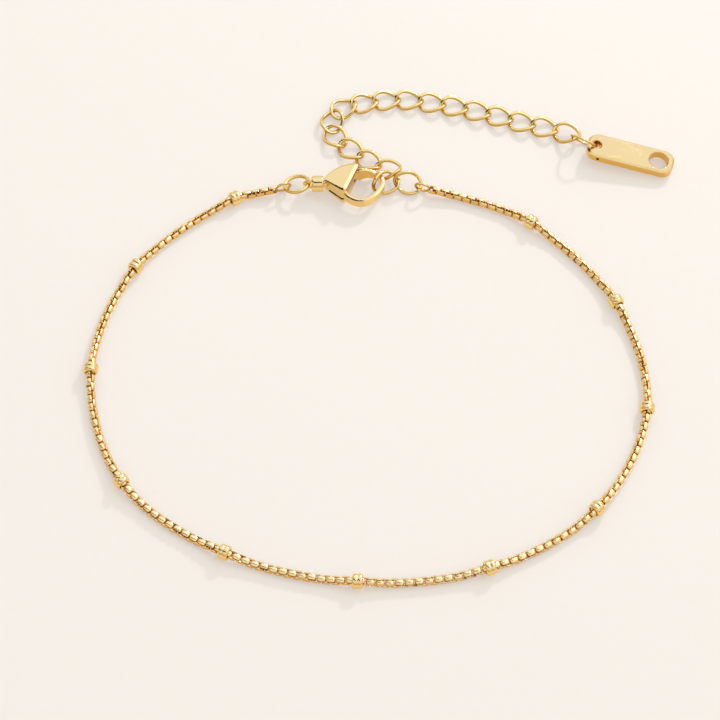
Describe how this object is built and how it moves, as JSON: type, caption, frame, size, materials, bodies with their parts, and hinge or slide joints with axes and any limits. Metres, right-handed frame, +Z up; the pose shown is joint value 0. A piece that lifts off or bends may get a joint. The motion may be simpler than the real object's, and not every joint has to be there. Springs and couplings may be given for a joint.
{
  "type": "beaded anklet",
  "caption": "Fine gold anklet chain with spaced ridged beads, closed by a lobster clasp on an extender chain of twisted links that ends in a plain oblong tag.",
  "frame": {"origin": "on the surface that the anklet lies on, under the middle of its bounding box", "axes": "+X along the long way of the loop, to the side where the tag lies; +Y from the front of the loop to the clasp and extender; +Z up from the surface"},
  "size_m": [0.0746, 0.0728, 0.0034],
  "materials": {
    "chain_gold": "polished yellow-gold plating on fine round box chain, bright with dark gaps between links",
    "bead_gold": "polished yellow-gold plating on small ridged spacer beads",
    "link_gold": "polished yellow-gold plating on round wire",
    "clasp_gold": "mirror-polished yellow-gold plating with bright bevelled edges",
    "tag_gold": "yellow-gold plating, lightly brushed flat top with polished edges"
  },
  "bodies": {
    "anklet": {"chain": "chain_gold", "bead_01": "bead_gold", "bead_02": "bead_gold", "bead_03": "bead_gold", "bead_04": "bead_gold", "bead_05": "bead_gold", "bead_06": "bead_gold", "bead_07": "bead_gold", "bead_08": "bead_gold", "bead_09": "bead_gold", "bead_10": "bead_gold", "bead_11": "bead_gold", "chain_end_ring_left": "link_gold", "chain_end_ring_right": "link_gold", "jump_ring": "link_gold", "tag_ring": "link_gold", "extender_link_01": "link_gold", "extender_link_02": "link_gold", "extender_link_03": "link_gold", "extender_link_04": "link_gold", "extender_link_05": "link_gold", "extender_link_06": "link_gold", "extender_link_07": "link_gold", "extender_link_08": "link_gold", "extender_link_09": "link_gold", "extender_link_10": "link_gold", "extender_link_11": "link_gold", "extender_link_12": "link_gold", "extender_link_13": "link_gold", "extender_link_14": "link_gold", "extender_link_15": "link_gold", "extender_link_16": "link_gold", "extender_link_17": "link_gold", "extender_link_18": "link_gold", "tag": "tag_gold", "clasp_body": "clasp_gold"},
    "lever": {"clasp_lever": "clasp_gold"}
  },
  "joints": [
    {"name": "lever_pivot", "type": "hinge", "parent": "anklet", "child": "lever", "pos_m": [-0.00463, 0.02187, 0.00145], "axis": [0, 0, -1], "range_deg": [0, 18], "stiffness_Nm_per_rad": 0.0002, "springref_deg": -22.92}
  ]
}
